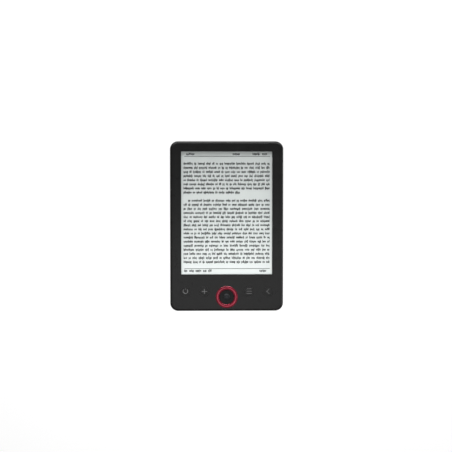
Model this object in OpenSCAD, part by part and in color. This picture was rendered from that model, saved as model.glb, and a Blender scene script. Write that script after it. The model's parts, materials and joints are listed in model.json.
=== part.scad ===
// E-reader: a flat slab with a six-inch paper-like screen, four small keys and a round
// navigation pad. It lies on its back: +Z comes out of the screen, +Y runs to the top
// edge, and the origin is the middle of the back face.

/* [Case] */
// Width of the case, across the lines of text
body_w = 113; // [113:0.5:118]
// Height of the case, from the key edge to the top edge
body_h = 169.5; // [169.5:0.5:175]
// Thickness of the case without the raised ring
body_t = 9; // [9:0.1:10]
// Radius of the four corners seen from the front
corner_r = 8; // [7:0.5:8.5]
// Radius of the edge around the front
front_edge_r = 2.5; // [1.5:0.1:2.8]
// Radius of the edge around the back
rear_edge_r = 2; // [1:0.1:2.4]
// Thickness of the side walls
wall_t = 1.5; // [1.2:0.1:1.5]
// Thickness of the front plate
front_t = 1.5; // [1.4:0.1:1.5]
// Thickness of the back plate
rear_t = 1.4; // [1:0.1:1.5]
// Height at which the two shells meet
split_z = 5; // [4.9:0.1:5.1]

/* [Screen] */
// Width of the window in the front plate
window_w = 90.8; // [90:0.1:91.4]
// Height of the window in the front plate
window_h = 122.6; // [122.6:0.1:123.6]
// Width of the border above the window
window_top = 10.2; // [10:0.1:10.5]
// Depth of the screen's surface below the front face
screen_recess = 1.8; // [1.8:0.1:1.9]
// Bevel around the window's upper edge
window_bevel = 0.3; // [0.1:0.05:0.5]

/* [Keys] */
// Distance of the four small keys from the bottom edge
key_row_up = 19.7; // [19:0.1:19.8]
// Distance of the two inner keys from the middle
key_inner_x = 22.4; // [21:0.1:23]
// Distance of the two outer keys from the middle
key_outer_x = 41.3; // [40.5:0.1:42]
// Radius of a small key
key_r = 4.7; // [4:0.1:4.8]
// Gap around a key
key_gap = 0.08; // [0.05:0.01:0.12]

/* [Navigation] */
// Distance of the pad's centre from the bottom edge
nav_up = 14; // [13.7:0.1:14.2]
// Outer radius of the red ring
ring_r = 10.95; // [10.8:0.05:11.1]
// Width of the red ring
ring_w = 3.4; // [3:0.1:3.5]
// Height of the ring above the front face
ring_rise = 0.4; // [0.3:0.05:0.9]
// Radius of the round pad inside the ring
pad_r = 7.3; // [7.1:0.05:7.35]
// Radius of the key in the middle of the pad
ok_r = 3.2; // [2.8:0.1:3.4]
// Radius of the round crown of that key
ok_crown_r = 7; // [6:0.5:9]

/* [Sockets in the bottom edge] */
// Distance of the memory card socket from the middle
card_x = 22; // [21:0.5:24]
// Distance of the reset hole from the middle
reset_x = 13.5; // [13:0.5:15]
// Distance of the charge light from the middle
light_x = 21; // [20:0.5:24]

/* [Hidden] */
$fn = 64;
eps = 0.01;

// levels of the stack, from the front face down
plate_z = body_t - front_t;
screen_z = body_t - screen_recess;
film_t = 0.4;
film_z = screen_z - film_t;
glass_t = 0.7;
glass_z = film_z - glass_t;
tape_t = 0.2;
frame_t = 0.7;
frame_top = glass_z - tape_t;
frame_z = frame_top - frame_t;
keypad_t = 0.6;
keypad_top = frame_z + keypad_t;
board_t = 0.8;
board_z = 2.3;
board_top = board_z + board_t;

// plan positions
half_w = body_w / 2;
half_h = body_h / 2;
window_y = half_h - window_top - window_h / 2;
key_y = -half_h + key_row_up;
nav_y = -half_h + nav_up;
bottom_y = -half_h;
cavity_w = body_w - 2 * wall_t;
cavity_h = body_h - 2 * wall_t;
cavity_r = corner_r - wall_t;
signs = [-1, 1];

// groove that shows where the shells meet
seam_h = 0.25;
seam_depth = 0.3;

// lip of the rear cover inside the front bezel
lip_gap = 0.1;
lip_t = 0.7;
lip_h = 0.8;

// screen module
film_margin = 2.5;
film_w = window_w + 2 * film_margin;
film_h = window_h + 2 * film_margin;
glass_w = 100.8;
glass_h = 136;
glass_y0 = half_h - 7.15 - glass_h;
gasket_inset = 0.3;
gasket_w = 2;
rib_gap = 0.2;
rib_t = 0.8;

// key parts
key_lift = 0.1;
key_edge_r = 0.2;
flange_t = 0.6;
flange_reach = 0.9;
flange_flat = key_r + 0.3;
flange_top = plate_z - key_lift;
flange_z = flange_top - flange_t;
dome_r = 2;
dome_h = 0.35;
dome_t = 0.08;
dome_gap = 0.05;
dome_top = keypad_top + dome_h;
nib_z = dome_top + dome_gap;
nib_r = 1;

// navigation pad
ring_seat = 0.8;
ring_gap = 0.05;
ring_mid_r = ring_r - ring_w / 2;
ring_crown_r = (pow(ring_w / 2, 2) + pow(ring_rise, 2)) / (2 * ring_rise);
ring_inner_r = ring_r - ring_w;
spigot_r = ring_inner_r + 0.85;
tilt_z = frame_z + 1.5;
pad_flange_r = 8.3;
pad_flange_z = tilt_z - 0.2;
pad_flange_t = 0.4;
pad_rim_z = body_t - 0.35;
pad_dish_r = 60;
pad_dish_drop = 0.4;
pad_nib_r = 0.8;
pad_reach = 5.6;
ok_gap = 0.08;
ok_step_z = tilt_z + 0.9;
ok_top = body_t + 0.1;
ok_flange_reach = 0.7;
gimbal_inner_r = 8.7;
gimbal_outer_r = 9.7;
gimbal_half_t = 0.4;
pivot_r = 0.2;
pivot_gap = 0.03;
pivot_tip = gimbal_outer_r + 1;
lug_x0 = gimbal_outer_r + 0.3;
lug_w = 1.4;

// screws: [head radius, head height, shank radius]
small_screw = [1.3, 0.5, 0.6];
frame_screw = [1.4, 0.5, 0.7];
board_screw = [1.6, 0.5, 0.8];
case_screw = [1.9, 1, 0.8];
keypad_shank = 1;
frame_shank = 1.9;
board_shank = 2.5;
case_shank = 4.2;
screw_gap = 0.05;
clear_gap = 0.1;
recess_r = 0.7;

case_screw_x = half_w - 9.5;
case_screw_y = half_h - 4.7;
case_recess = 1.3;
case_boss_r = 3;
case_boss_top = 2.8;
front_boss_r = 2.3;
insert_r = 1.5;
insert_h = 3;
frame_screw_x = half_w - 4.2;
frame_screw_ys = [66, 8, -44];
frame_boss_r = 1.6;
board_screw_x = half_w - 7;
board_screw_ys = [-30, -66];
board_post_r = 2;
keypad_bar_x = 31.8;
keypad_low_x = 12;
keypad_low_y = nav_y - 5.65;

// frame, mainboard and keypad outlines
frame_w = body_w - 5.2;
frame_top_y = glass_y0 + glass_h + 0.6;
frame_step_y = bottom_y + 8.25;
tongue_w = 87;
tongue_y = bottom_y + 2.75;
mainboard_w = body_w - 9;
mainboard_top_y = -22;
keypad_w = 93;
keypad_top_y = key_y + 5.05;
keypad_step_y = key_y - 6.55;
keypad_tail_w = 28;
keypad_tail_y = nav_y - 8.35;
pocket_gap = 0.3;

// ribbons
ribbon_t = 0.15;
display_ribbon_w = 32;
display_slot_w = display_ribbon_w + 2;
ribbon_drop_y = glass_y0 - 0.65;
display_contact_z = board_top + 1;
display_plug_y = ribbon_drop_y + 9;
keypad_ribbon_x = -24.5;
keypad_ribbon_w = 8;
keypad_contact_z = board_top + 0.7;
keypad_plug_y = key_y + 11.4;
keypad_plug_size = [keypad_ribbon_w + 3, 3.5, 1.2];

// sockets
usb_w = 7.5;
usb_h = 2.5;
usb_len = 6.1;
usb_z = 3.15;
usb_front_y = bottom_y + 0.3;
usb_sheet = 0.3;
card_w = 14;
card_len = 14.9;
card_h = 1.45;
card_front_y = bottom_y + 2.4;
card_slot_w = 11.4;
card_slot_h = 0.8;
switch_size = [3.6, 2.6, 1.5];
switch_y = bottom_y + 3.2;
reset_z = board_top + 0.75;
reset_hole_r = 0.6;
plunger_r = 0.5;
light_r = 0.75;
light_z = board_top + light_r + ring_gap;

// battery
battery_size = [62, 74, 3.25];
battery_y0 = -14;
battery_tape_t = 0.25;
battery_top = frame_z - battery_tape_t;
lead_r = 0.4;
lead_bend_r = 1.5;
lead_x = -30;
lead_pitch = 2.6;
lead_z = board_top + 1;
lead_y0 = battery_y0 - 4;
lead_start = 1.5;
lead_tail = 1;
lead_end_y = lead_y0 - lead_start - 2 * lead_bend_r - lead_tail;

// chips, coils and small parts on the mainboard: places in plan and sizes
processor_size = [13, 13, 1.1];
memory_size = [11, 13, 1];
storage_at = [-9, -38];
storage_size = [12, 16, 1];
power_at = [-28, -42];
power_size = [7, 7, 0.9];
coil_pitch = 6;
coil_y = -33;
coil_r = 2.2;
coil_h = 1.6;
crystal_at = [-20, -30];
crystal_size = [3.2, 2.5, 0.8];
small_part_size = [1, 0.5, 0.5];

// screening can over the processor and its memory
can_x = 22;
can_y = -34;
can_size = [36, 20, 1.8];
can_sheet = 0.2;

// ---------------------------------------------------------------- shared shapes

module quarter_disc(r) {
    intersection() {
        circle(r);
        square(r);
    }
}

module rounded_rect(w, h, r) {
    square([w - 2 * r, h], center = true);
    square([w, h - 2 * r], center = true);
    for (turn = [0:3]) {
        side_x = turn == 0 || turn == 3 ? 1 : -1;
        side_y = turn < 2 ? 1 : -1;
        translate([side_x * (w / 2 - r), side_y * (h / 2 - r)]) rotate(turn * 90) quarter_disc(r);
    }
}

// half section of a round or straight block whose upper outer edge is rounded
module edge_section(reach, height, edge_r) {
    square([reach, height - edge_r]);
    square([reach - edge_r, height]);
    translate([reach - edge_r, height - edge_r]) quarter_disc(edge_r);
}

// block with round corners in plan and a rounded upper edge, standing on z = 0
module slab(w, h, r, height, edge_r) {
    flat_w = w - 2 * r;
    flat_h = h - 2 * r;
    translate([-flat_w / 2, -flat_h / 2]) cube([flat_w, flat_h, height]);
    for (turn = [0:3]) {
        side_x = turn == 0 || turn == 3 ? 1 : -1;
        side_y = turn < 2 ? 1 : -1;
        translate([side_x * flat_w / 2, side_y * flat_h / 2])
            rotate(turn * 90) rotate_extrude(angle = 90) edge_section(r, height, edge_r);
    }
    for (half_turn = [0, 180]) rotate(half_turn) {
        translate([flat_w / 2, flat_h / 2]) rotate([90, 0, 0])
            linear_extrude(flat_h) edge_section(r, height, edge_r);
        translate([-flat_w / 2, flat_h / 2]) rotate([90, 0, 90])
            linear_extrude(flat_w) edge_section(r, height, edge_r);
    }
}

// cylinder along +Y from the given point
module rod_y(r, length) {
    rotate([-90, 0, 0]) cylinder(r = r, h = length);
}

// cylinder along +X from the given point
module rod_x(r, length) {
    rotate([0, 90, 0]) cylinder(r = r, h = length);
}

// box centred in x, from y0 to y1 and z0 to z1
module bar(w, y0, y1, z0, z1) {
    translate([-w / 2, y0, z0]) cube([w, y1 - y0, z1 - z0]);
}

// chip standing on the mainboard, centred on a point
module chip(x, y, size) {
    translate([x - size[0] / 2, y - size[1] / 2, board_top]) cube(size);
}

// screw with its head below and its shank pointing up, the head's top on z = 0
module screw(kind, shank) {
    difference() {
        translate([0, 0, -kind[1]]) cylinder(r = kind[0], h = kind[1]);
        translate([0, 0, -kind[1] - eps]) cylinder(r = recess_r, h = kind[1] / 2, $fn = 6);
    }
    translate([0, 0, -eps]) cylinder(r = kind[2], h = shank);
}

module at_case_screws() {
    for (sx = signs, sy = signs) translate([sx * case_screw_x, sy * case_screw_y]) children();
}

module at_frame_screws() {
    for (sx = signs, y = frame_screw_ys) translate([sx * frame_screw_x, y]) children();
}

module at_board_screws() {
    for (sx = signs, y = board_screw_ys) translate([sx * board_screw_x, y]) children();
}

module at_keypad_screws() {
    for (sx = signs) {
        translate([sx * keypad_bar_x, key_y]) children();
        translate([sx * keypad_low_x, keypad_low_y]) children();
    }
}

module at_keys() {
    for (sx = signs, x = [key_inner_x, key_outer_x]) translate([sx * x, key_y]) children();
}

// ---------------------------------------------------------------- case

module usb_section(grow) {
    w = usb_w + 2 * grow;
    h = usb_h + 2 * grow;
    cut = usb_h / 3;
    polygon([[-w / 2, h / 2], [w / 2, h / 2], [w / 2, cut - h / 2], [w / 2 - cut, -h / 2],
        [cut - w / 2, -h / 2], [-w / 2, cut - h / 2]]);
}

module socket_holes() {
    depth = wall_t + lip_gap + lip_t + 2;
    mouth_gap = 0.25;
    card_mouth = [card_slot_w + 0.8, card_slot_h + 0.6];
    translate([0, bottom_y - 1, usb_z]) rotate([-90, 0, 0]) mirror([0, 1, 0])
        linear_extrude(depth) usb_section(mouth_gap);
    translate([card_x, bottom_y - 1, board_top + card_h / 2]) rotate([-90, 0, 0])
        linear_extrude(depth) rounded_rect(card_mouth[0], card_mouth[1], 0.4);
    translate([-reset_x, bottom_y - 1, reset_z]) rod_y(reset_hole_r, depth);
    translate([-light_x, bottom_y - 1, light_z]) rod_y(light_r + ring_gap, depth);
}

module battery_fence() {
    fence_t = 0.8;
    fence_gap = 0.6;
    fence_top = 3;
    inner_w = battery_size[0] + 2 * fence_gap;
    y0 = lead_y0 - fence_gap;
    y1 = battery_y0 + battery_size[1] + fence_gap;
    for (sx = signs) translate([sx * (inner_w + fence_t) / 2, 0])
        bar(fence_t, y0, y1, rear_t - eps, fence_top);
    bar(inner_w + 2 * fence_t, y1, y1 + fence_t, rear_t - eps, fence_top);
}

module rear_cover() {
    color("#26282b")
    difference() {
        union() {
            difference() {
                translate([0, 0, split_z]) mirror([0, 0, 1])
                    slab(body_w, body_h, corner_r, split_z, rear_edge_r);
                translate([0, 0, rear_t]) linear_extrude(split_z)
                    rounded_rect(cavity_w, cavity_h, cavity_r);
            }
            lip();
            at_case_screws() cylinder(r = case_boss_r, h = case_boss_top);
            battery_fence();
        }
        at_case_screws() {
            translate([0, 0, -1]) cylinder(r = case_screw[0] + 0.2, h = 1 + case_recess);
            cylinder(r = case_screw[2] + clear_gap, h = split_z);
        }
        parting_groove();
        socket_holes();
    }
}

// frame-shaped cut round the cover's upper outer edge
module parting_groove() {
    translate([0, 0, split_z - seam_h]) linear_extrude(2 * seam_h) difference() {
        square([body_w + 1, body_h + 1], center = true);
        rounded_rect(body_w - 2 * seam_depth, body_h - 2 * seam_depth, corner_r - seam_depth);
    }
}

// standing lip that locates the front bezel
module lip() {
    outer_w = cavity_w - 2 * lip_gap;
    outer_h = cavity_h - 2 * lip_gap;
    outer_r = cavity_r - lip_gap;
    translate([0, 0, split_z - lip_h]) difference() {
        linear_extrude(2 * lip_h) rounded_rect(cavity_w + eps, cavity_h + eps, cavity_r);
        translate([0, 0, -1]) linear_extrude(2 * lip_h + 2)
            rounded_rect(outer_w - 2 * lip_t, outer_h - 2 * lip_t, outer_r - lip_t);
        translate([0, 0, lip_h]) difference() {
            linear_extrude(lip_h + 1) square([body_w, body_h], center = true);
            translate([0, 0, -1]) linear_extrude(lip_h + 3) rounded_rect(outer_w, outer_h, outer_r);
        }
    }
}

module front_shell() {
    difference() {
        translate([0, 0, split_z]) slab(body_w, body_h, corner_r, body_t - split_z, front_edge_r);
        translate([0, 0, split_z - 1]) linear_extrude(plate_z - split_z + 1)
            rounded_rect(cavity_w, cavity_h, cavity_r);
    }
}

// opening over the screen, wider at the face by the bevel
module screen_window() {
    translate([0, window_y, body_t]) {
        cube([window_w, window_h, 4 * front_t], center = true);
        for (turn = [0, 90, 180, 270]) {
            across = turn % 180 == 0 ? window_w : window_h;
            along = turn % 180 == 0 ? window_h : window_w;
            rotate(turn) translate([across / 2, along / 2 + window_bevel]) rotate([90, 0, 0])
                linear_extrude(along + 2 * window_bevel)
                    polygon([[-1, -window_bevel], [0, -window_bevel], [window_bevel, 0],
                        [window_bevel, 1], [-1, 1]]);
        }
    }
}

// ribs that keep the glass in place and stop the keys from turning
module front_ribs() {
    glass_top = glass_y0 + glass_h;
    rib_z = frame_top + 0.1;
    stop_w = 5;
    stop_t = 0.8;
    stop_gap = 0.15;
    for (sx = signs) translate([sx * (glass_w / 2 + rib_gap + rib_t / 2), 0])
        bar(rib_t, glass_y0 + 2, glass_top + rib_gap + rib_t, rib_z, plate_z + eps);
    bar(glass_w + 2 * rib_gap, glass_top + rib_gap, glass_top + rib_gap + rib_t, rib_z, plate_z + eps);
    at_keys() for (sy = signs) translate([0, sy * (flange_flat + stop_gap + stop_t / 2)])
        bar(stop_w, -stop_t / 2, stop_t / 2, flange_z, plate_z + eps);
}

module nav_lugs() {
    lug_h = 1.8;
    lug_drop = 0.5;
    for (half_turn = [0, 180]) translate([0, nav_y]) rotate(half_turn) difference() {
        translate([lug_x0, -lug_h / 2, tilt_z - lug_drop])
            cube([lug_w, lug_h, plate_z - tilt_z + lug_drop + eps]);
        translate([lug_x0 - 1, 0, tilt_z]) rod_x(pivot_r + pivot_gap, pivot_tip - lug_x0 + 1.2);
    }
}

module front_bezel() {
    color("#2b2d30")
    difference() {
        union() {
            front_shell();
            front_ribs();
            nav_lugs();
            at_case_screws() translate([0, 0, case_boss_top + 0.1])
                cylinder(r = front_boss_r, h = plate_z - case_boss_top);
            at_frame_screws() translate([0, 0, frame_top])
                cylinder(r = frame_boss_r, h = plate_z - frame_top + eps);
        }
        screen_window();
        at_keys() translate([0, 0, split_z]) cylinder(r = key_r + key_gap, h = body_t);
        translate([0, nav_y]) {
            translate([0, 0, body_t - ring_seat]) cylinder(r = ring_r + ring_gap, h = body_t);
            translate([0, 0, plate_z - 1]) cylinder(r = spigot_r + ring_gap, h = body_t);
        }
        at_case_screws() translate([0, 0, case_boss_top])
            cylinder(r = insert_r + screw_gap, h = insert_h + 1);
        at_frame_screws() translate([0, 0, frame_z])
            cylinder(r = frame_screw[2] + screw_gap, h = frame_shank + screw_gap);
    }
}

// ---------------------------------------------------------------- keys and pad

module nav_ring() {
    color("#a5243c") translate([0, nav_y]) rotate_extrude() {
        intersection() {
            translate([ring_mid_r, body_t + ring_rise - ring_crown_r]) circle(ring_crown_r, $fn = 96);
            translate([ring_inner_r, body_t - ring_seat]) square([ring_w, 2 * ring_seat]);
        }
        translate([ring_inner_r, plate_z]) square([spigot_r - ring_inner_r, front_t - ring_seat + eps]);
    }
}

// round cap on a flange with two flats, over a nib that meets the dome below
module key_shape() {
    translate([0, 0, flange_top - eps]) rotate_extrude()
        edge_section(key_r, body_t - flange_top + eps, key_edge_r);
    translate([0, 0, flange_z]) intersection() {
        cylinder(r = key_r + flange_reach, h = flange_t);
        cube([4 * key_r, 2 * flange_flat, 3 * flange_t], center = true);
    }
    translate([0, 0, nib_z]) cylinder(r = nib_r, h = flange_z - nib_z + eps);
}

module small_key(x) {
    color("#303236") translate([x, key_y]) key_shape();
}

module power_key() {
    small_key(-key_outer_x);
}

module plus_key() {
    small_key(-key_inner_x);
}

module menu_key() {
    small_key(key_inner_x);
}

module back_key() {
    small_key(key_outer_x);
}

// dished disc that tilts inside the ring, with a flange, two pivots and four nibs below
module nav_pad() {
    color("#1d1f21") translate([0, nav_y]) {
        difference() {
            union() {
                translate([0, 0, tilt_z]) rotate_extrude()
                    edge_section(pad_r, pad_rim_z - tilt_z, key_edge_r);
                translate([0, 0, pad_flange_z]) cylinder(r = pad_flange_r, h = pad_flange_t);
            }
            translate([0, 0, pad_rim_z - pad_dish_drop + pad_dish_r]) sphere(pad_dish_r, $fn = 96);
            cylinder(r = ok_r + ok_gap, h = body_t);
            cylinder(r = ok_r + ok_flange_reach + clear_gap, h = ok_step_z);
        }
        for (sy = signs) translate([0, sy * pad_flange_r, tilt_z]) rotate([-90 * sy, 0, 0])
            translate([0, 0, -0.3]) cylinder(r = pivot_r, h = gimbal_outer_r - pad_flange_r);
        for (turn = [0:90:270]) rotate(turn) translate([pad_reach, 0, nib_z])
            cylinder(r = pad_nib_r, h = pad_flange_z - nib_z + eps);
    }
}

// ring between the pad and the case: the pad's two pivots turn in it, and its own in the lugs
module nav_gimbal() {
    color("silver") translate([0, nav_y, tilt_z]) {
        difference() {
            translate([0, 0, -gimbal_half_t]) cylinder(r = gimbal_outer_r, h = 2 * gimbal_half_t);
            translate([0, 0, -1]) cylinder(r = gimbal_inner_r, h = 2);
            translate([0, -gimbal_outer_r - 1]) rod_y(pivot_r + pivot_gap, 2 * gimbal_outer_r + 2);
        }
        for (half_turn = [0, 180]) rotate(half_turn)
            translate([gimbal_outer_r - 0.3, 0]) rod_x(pivot_r, pivot_tip - gimbal_outer_r + 0.3);
    }
}

// key with a round crown, held under the pad by its flange, over a nib that meets the dome below
module ok_key() {
    ok_flange_z = ok_step_z - key_lift - flange_t;
    color("#303236") translate([0, nav_y]) {
        rotate_extrude() intersection() {
            translate([0, ok_flange_z]) square([ok_r, ok_top - ok_flange_z]);
            translate([0, ok_top - ok_crown_r]) circle(ok_crown_r, $fn = 96);
        }
        translate([0, 0, ok_flange_z]) cylinder(r = ok_r + ok_flange_reach, h = flange_t);
        translate([0, 0, nib_z]) cylinder(r = nib_r, h = ok_flange_z - nib_z + eps);
    }
}

// ---------------------------------------------------------------- screen

module display_film() {
    color("#d9dedb") translate([0, window_y, film_z]) linear_extrude(film_t)
        square([film_w, film_h], center = true);
}

module display_glass() {
    color("#8fa3a0") bar(glass_w, glass_y0, glass_y0 + glass_h, glass_z, film_z);
}

// driver chips bonded along the glass's lower and left borders
module display_drivers() {
    driver_t = 0.3;
    color("#202226") {
        for (sx = signs) translate([sx * 15, 0])
            bar(22, glass_y0 + 4, glass_y0 + 5.6, film_z, film_z + driver_t);
        translate([-glass_w / 2 + 1.2, 0]) bar(1.2, 20, 40, film_z, film_z + driver_t);
    }
}

// ribbon from the glass's lower edge, down past the frame and back to its connector
module display_ribbon() {
    bond_y = glass_y0 + 3;
    top = film_z + ribbon_t;
    low = display_contact_z;
    back_y = ribbon_drop_y - ribbon_t;
    end_y = display_plug_y + 1;
    color("#b5792f") translate([-display_ribbon_w / 2, 0]) rotate([90, 0, 90])
        linear_extrude(display_ribbon_w) polygon([[bond_y, top], [back_y, top], [back_y, low],
            [end_y, low], [end_y, low + ribbon_t], [ribbon_drop_y, low + ribbon_t],
            [ribbon_drop_y, film_z], [bond_y, film_z]]);
}

module display_gasket() {
    inner = [window_w + 2 * gasket_inset, window_h + 2 * gasket_inset];
    color("#151515") translate([0, window_y, screen_z]) linear_extrude(plate_z - screen_z) difference() {
        square([inner[0] + 2 * gasket_w, inner[1] + 2 * gasket_w], center = true);
        square(inner, center = true);
    }
}

module display_tape() {
    tape_h = 12;
    color("#e8e4d8") for (y = [glass_y0 + 3, glass_y0 + glass_h - tape_h - 1])
        bar(glass_w - 6, y, y + tape_h, frame_top, glass_z);
}

// ---------------------------------------------------------------- frame

module keypad_outline(grow) {
    w = keypad_w / 2 + grow;
    tail = keypad_tail_w / 2 + grow;
    top = keypad_top_y + grow;
    step = keypad_step_y - grow;
    low = keypad_tail_y - grow;
    polygon([[-w, top], [w, top], [w, step], [tail, step],
        [tail, low], [-tail, low], [-tail, step], [-w, step]]);
}

// strap of the frame under the keypad board, for two of its screws
module keypad_bridge(w, y0, y1) {
    bridge_t = 0.5;
    bar(w, y0, y1, frame_z - bridge_t, frame_z);
}

module mid_frame() {
    color("#9aa0a6")
    difference() {
        union() {
            difference() {
                union() {
                    bar(frame_w, frame_step_y, frame_top_y, frame_z, frame_top);
                    bar(tongue_w, tongue_y, frame_step_y + eps, frame_z, frame_top);
                }
                translate([0, 0, frame_z - 1]) linear_extrude(frame_t + 2) keypad_outline(pocket_gap);
                bar(display_slot_w, keypad_top_y - eps, glass_y0 + 0.2, frame_z - 1, frame_top + 1);
            }
            for (sx = signs) {
                translate([sx * keypad_bar_x, 0])
                    keypad_bridge(5, keypad_step_y - 2, keypad_top_y + 1.5);
                translate([sx * keypad_low_x, 0])
                    keypad_bridge(3.4, keypad_tail_y - 1.5, keypad_low_y + 2);
            }
            at_board_screws() translate([0, 0, board_top])
                cylinder(r = board_post_r, h = frame_z - board_top + eps);
        }
        for (sx = signs) translate([sx * case_screw_x, case_screw_y, frame_z - 1])
            cylinder(r = front_boss_r + 0.3, h = frame_t + 2);
        at_frame_screws() translate([0, 0, frame_z - 1])
            cylinder(r = frame_screw[2] + 0.1, h = frame_t + 2);
        at_board_screws() translate([0, 0, board_z])
            cylinder(r = board_screw[2] + screw_gap, h = board_shank + 0.2);
        at_keypad_screws() translate([0, 0, frame_z - 1])
            cylinder(r = small_screw[2] + screw_gap, h = 1.5);
    }
}

// ---------------------------------------------------------------- mainboard

module mainboard() {
    usb_notch = usb_w + 0.6;
    color("#1f5c3a")
    difference() {
        union() {
            bar(mainboard_w, frame_step_y, mainboard_top_y, board_z, board_top);
            bar(tongue_w - 2, tongue_y - 0.3, frame_step_y + eps, board_z, board_top);
        }
        bar(usb_notch, bottom_y, usb_front_y + usb_len + 0.2, board_z - 1, board_top + 1);
        at_board_screws() translate([0, 0, board_z - 1]) cylinder(r = board_screw[2] + 0.2, h = 3);
    }
}

module shield_can() {
    color("#c8cccf")
    difference() {
        chip(can_x, can_y, can_size);
        translate([0, 0, -can_sheet])
            chip(can_x, can_y, [can_size[0] - 2 * can_sheet, can_size[1] - 2 * can_sheet, can_size[2]]);
    }
}

module processor() {
    color("#232427") chip(can_x - 7.5, can_y, processor_size);
}

module memory_chip() {
    color("#232427") chip(can_x + 8, can_y, memory_size);
}

module storage_chip() {
    color("#232427") chip(storage_at[0], storage_at[1], storage_size);
}

module power_chip() {
    color("#232427") chip(power_at[0], power_at[1], power_size);
}

module power_coils() {
    color("#4a4c50") for (i = [0:2])
        translate([power_at[0] - i * coil_pitch, coil_y, board_top]) cylinder(r = coil_r, h = coil_h);
}

module clock_crystal() {
    color("#d0d2d4") chip(crystal_at[0], crystal_at[1], crystal_size);
}

// row of capacitors and resistors; a step is the way from one to the next
module part_row(start, step, count) {
    for (i = [0:count - 1]) chip(start[0] + i * step[0], start[1] + i * step[1], small_part_size);
}

module small_parts() {
    color("#a98d6a") {
        part_row([-44, keypad_plug_y + keypad_plug_size[1] + 1], [3, 0], 8);
        part_row([-38, -28.6], [3, 0], 6);
        part_row([8, -62], [3, 0], 10);
        part_row([-30, -64], [0, -3], 4);
    }
}

// connector with a slot in its lower (-Y) face for a ribbon
module ribbon_connector(x, y0, size, contact_z, slot_w) {
    color("#e9e2cf")
    difference() {
        translate([x - size[0] / 2, y0, board_top]) cube(size);
        translate([x - slot_w / 2, y0 - 1, contact_z - 0.05])
            cube([slot_w, size[1] / 2 + 1, ribbon_t + 0.1]);
    }
}

module display_connector() {
    ribbon_connector(0, display_plug_y, [display_ribbon_w + 3, 4, 1.6],
        display_contact_z, display_ribbon_w + 0.3);
}

module keypad_connector() {
    ribbon_connector(keypad_ribbon_x, keypad_plug_y, keypad_plug_size,
        keypad_contact_z, keypad_ribbon_w + 0.3);
}

module battery_connector() {
    color("#f2f0ea") chip(lead_x + 2 * lead_bend_r, lead_end_y - 1.8, [5, 3.6, 1.8]);
}

// ---------------------------------------------------------------- sockets

module usb_shell() {
    color("#c8cccf") translate([0, usb_front_y, usb_z]) rotate([-90, 0, 0]) mirror([0, 1, 0]) difference() {
        linear_extrude(usb_len) usb_section(0);
        translate([0, 0, -1]) linear_extrude(usb_len + 2) usb_section(-usb_sheet);
    }
}

// insulator that closes the shell's back and carries the contacts on a tongue
module usb_tongue() {
    tongue_t = 0.6;
    block_len = 1.6;
    color("#1b1c1e") translate([0, usb_front_y, usb_z]) {
        translate([0, usb_len - block_len]) rotate([-90, 0, 0]) mirror([0, 1, 0])
            linear_extrude(block_len) usb_section(-usb_sheet - 0.02);
        bar(3.6, 0.8, usb_len - block_len + eps, 0.05, 0.05 + tongue_t);
    }
}

module card_socket() {
    color("#c8cccf") translate([card_x, card_front_y, board_top]) difference() {
        translate([-card_w / 2, 0]) cube([card_w, card_len, card_h]);
        translate([-card_slot_w / 2, -1, (card_h - card_slot_h) / 2])
            cube([card_slot_w, card_len - 1, card_slot_h]);
    }
}

module reset_switch() {
    color("#2a2b2d") difference() {
        translate([-reset_x - switch_size[0] / 2, switch_y, board_top]) cube(switch_size);
        translate([-reset_x, switch_y - 1, reset_z]) rod_y(plunger_r + screw_gap, 2.2);
    }
}

module reset_plunger() {
    color("#e9e2cf") translate([-reset_x, switch_y - 0.8, reset_z]) rod_y(plunger_r, 1.6);
}

module charge_led() {
    color("#f4f1c9") translate([-light_x, bottom_y + 3.5]) bar(1.6, 0, 1, board_top, board_top + 1);
}

module light_pipe() {
    color("#dfe9ee") translate([-light_x, bottom_y + 0.05, light_z]) rod_y(light_r, 3.3);
}

// ---------------------------------------------------------------- battery

module battery_cell() {
    color("#b9bcc0") translate([0, battery_y0 + battery_size[1] / 2, battery_top - battery_size[2]])
        slab(battery_size[0], battery_size[1], 3, battery_size[2], 0.8);
}

module battery_board() {
    color("#1f5c3a") translate([-18, 0])
        bar(30, lead_y0, battery_y0 - 0.4, lead_z - lead_r, lead_z + lead_r);
}

module battery_tape() {
    tape_w = 14;
    color("#e8e4d8") for (sx = signs) translate([sx * 20, 0])
        bar(tape_w, battery_y0 + 6, battery_y0 + battery_size[1] - 6, battery_top, frame_z);
}

// quarter bend of a lead, from -Y round to +X
module lead_bend() {
    rotate_extrude(angle = 90) translate([lead_bend_r, 0]) circle(lead_r, $fn = 32);
}

// lead that runs down, steps sideways by two bends and runs down into its plug
module battery_lead(x) {
    translate([x, lead_y0 - lead_start, lead_z]) {
        rod_y(lead_r, lead_start);
        translate([lead_bend_r, 0]) rotate(180) lead_bend();
        translate([lead_bend_r, -2 * lead_bend_r]) lead_bend();
        translate([2 * lead_bend_r, -2 * lead_bend_r - lead_tail]) rod_y(lead_r, lead_tail);
    }
}

module battery_lead_red() {
    color("#b3201f") battery_lead(lead_x - lead_pitch / 2);
}

module battery_lead_black() {
    color("#151515") battery_lead(lead_x + lead_pitch / 2);
}

// ---------------------------------------------------------------- keypad

module keypad_board() {
    color("#1f5c3a") translate([0, 0, frame_z]) difference() {
        linear_extrude(keypad_t) keypad_outline(0);
        at_keypad_screws() translate([0, 0, -1]) cylinder(r = small_screw[2] + 0.1, h = 3);
    }
}

// snap dome of thin sheet, standing on the keypad board
module dome() {
    crown_r = (pow(dome_r, 2) + pow(dome_h, 2)) / (2 * dome_h);
    translate([0, 0, keypad_top]) rotate_extrude() intersection() {
        translate([0, dome_h - crown_r]) difference() {
            circle(crown_r, $fn = 180);
            circle(crown_r - dome_t, $fn = 180);
        }
        square([dome_r, dome_h]);
    }
}

module key_dome(x, y) {
    color("#d7d9db") translate([x, y]) dome();
}

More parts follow.
